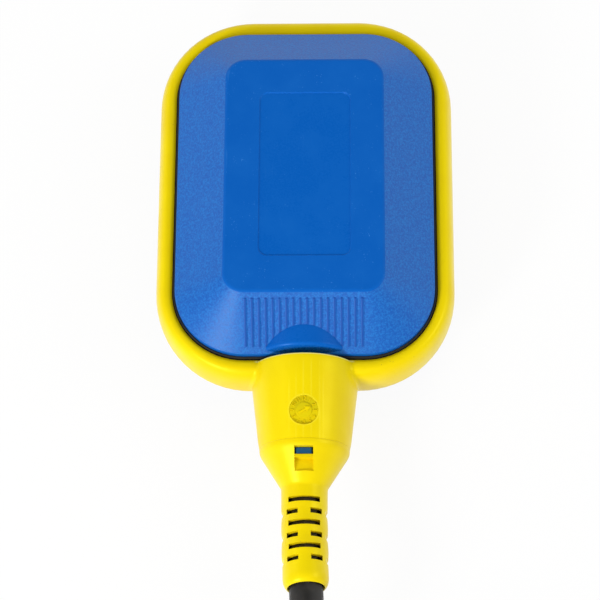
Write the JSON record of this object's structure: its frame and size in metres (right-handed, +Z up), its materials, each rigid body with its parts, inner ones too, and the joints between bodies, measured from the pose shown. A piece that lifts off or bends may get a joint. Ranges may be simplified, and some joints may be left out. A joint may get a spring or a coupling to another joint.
{
  "type": "cable float switch",
  "caption": "Flat two-shell float in a bumper frame with a collar and slotted cable boot; a ball inside rolls as the float tips and trips a switch on its lead.",
  "frame": {"origin": "centre of the float with its boot, without the lead, on the flat rear face it lies on", "axes": "+X across the float, +Y from the cable boot towards the far end, +Z up through the front flat face"},
  "size_m": [0.1094, 0.3147, 0.041],
  "materials": {
    "blue_shell": "satin, fine spark-eroded slopes",
    "yellow_shell": "semi-gloss",
    "black_rubber": "matte",
    "white_plastic": "matte",
    "red_plastic": "matte",
    "steel": "bright",
    "brass": "bright",
    "resin": "cast",
    "sheath": "matte",
    "core_brown": "matte",
    "core_blue": "matte",
    "core_black": "matte",
    "tie_plastic": "matte"
  },
  "bodies": {
    "float_body": {"front_cover": "blue_shell", "rear_cover": "blue_shell", "bumper_frame": "yellow_shell", "front_seal": "black_rubber", "rear_seal": "black_rubber", "cable_spigot": "blue_shell", "cable_boot": "yellow_shell", "gland_bush": "black_rubber", "gland_washer": "brass", "potting_plug": "resin", "cable_entry_length": "sheath", "core_brown": "core_brown", "core_black": "core_black", "core_blue": "core_blue", "inner_case": "white_plastic", "inner_case_lid": "white_plastic", "case_screw_1": "steel", "case_screw_2": "steel", "case_screw_3": "steel", "case_screw_4": "steel", "switch_body": "red_plastic", "switch_cover_plate": "red_plastic", "terminal_common": "brass", "terminal_open": "brass", "terminal_closed": "brass", "cable": "sheath", "cable_coil": "sheath", "coil_tie_1": "tie_plastic", "coil_tie_2": "tie_plastic", "end_core_brown": "core_brown", "end_core_black": "core_black", "end_core_blue": "core_blue", "end_sleeve_brown": "steel", "end_sleeve_black": "steel", "end_sleeve_blue": "steel"},
    "ball": {"steel_ball": "steel"},
    "lever": {"switch_lever": "steel"},
    "plunger": {"switch_plunger": "white_plastic"},
    "contact": {"moving_contact": "brass"}
  },
  "joints": [
    {"name": "ball_travel", "type": "slide", "parent": "float_body", "child": "ball", "axis": [0, -1, 0], "range_m": [0, 0.012]},
    {"name": "lever_swing", "type": "hinge", "parent": "float_body", "child": "lever", "pos_m": [-0.0122, 0.02278, 0.0205], "axis": [0, 0, -1], "range_deg": [0, 10]},
    {"name": "plunger_press", "type": "slide", "parent": "float_body", "child": "plunger", "axis": [0, -1, 0], "range_m": [0, 0.00115]},
    {"name": "contact_swing", "type": "hinge", "parent": "float_body", "child": "contact", "pos_m": [-0.0115, 0.01628, 0.0205], "axis": [0, 0, -1], "range_deg": [0, 3.5]}
  ],
  "couplings": [
    {"joint": "lever_swing", "follows": "ball_travel", "rad_per_m": 14.54},
    {"joint": "plunger_press", "follows": "ball_travel", "ratio": 0.0958},
    {"joint": "contact_swing", "follows": "ball_travel", "rad_per_m": 5.09}
  ]
}
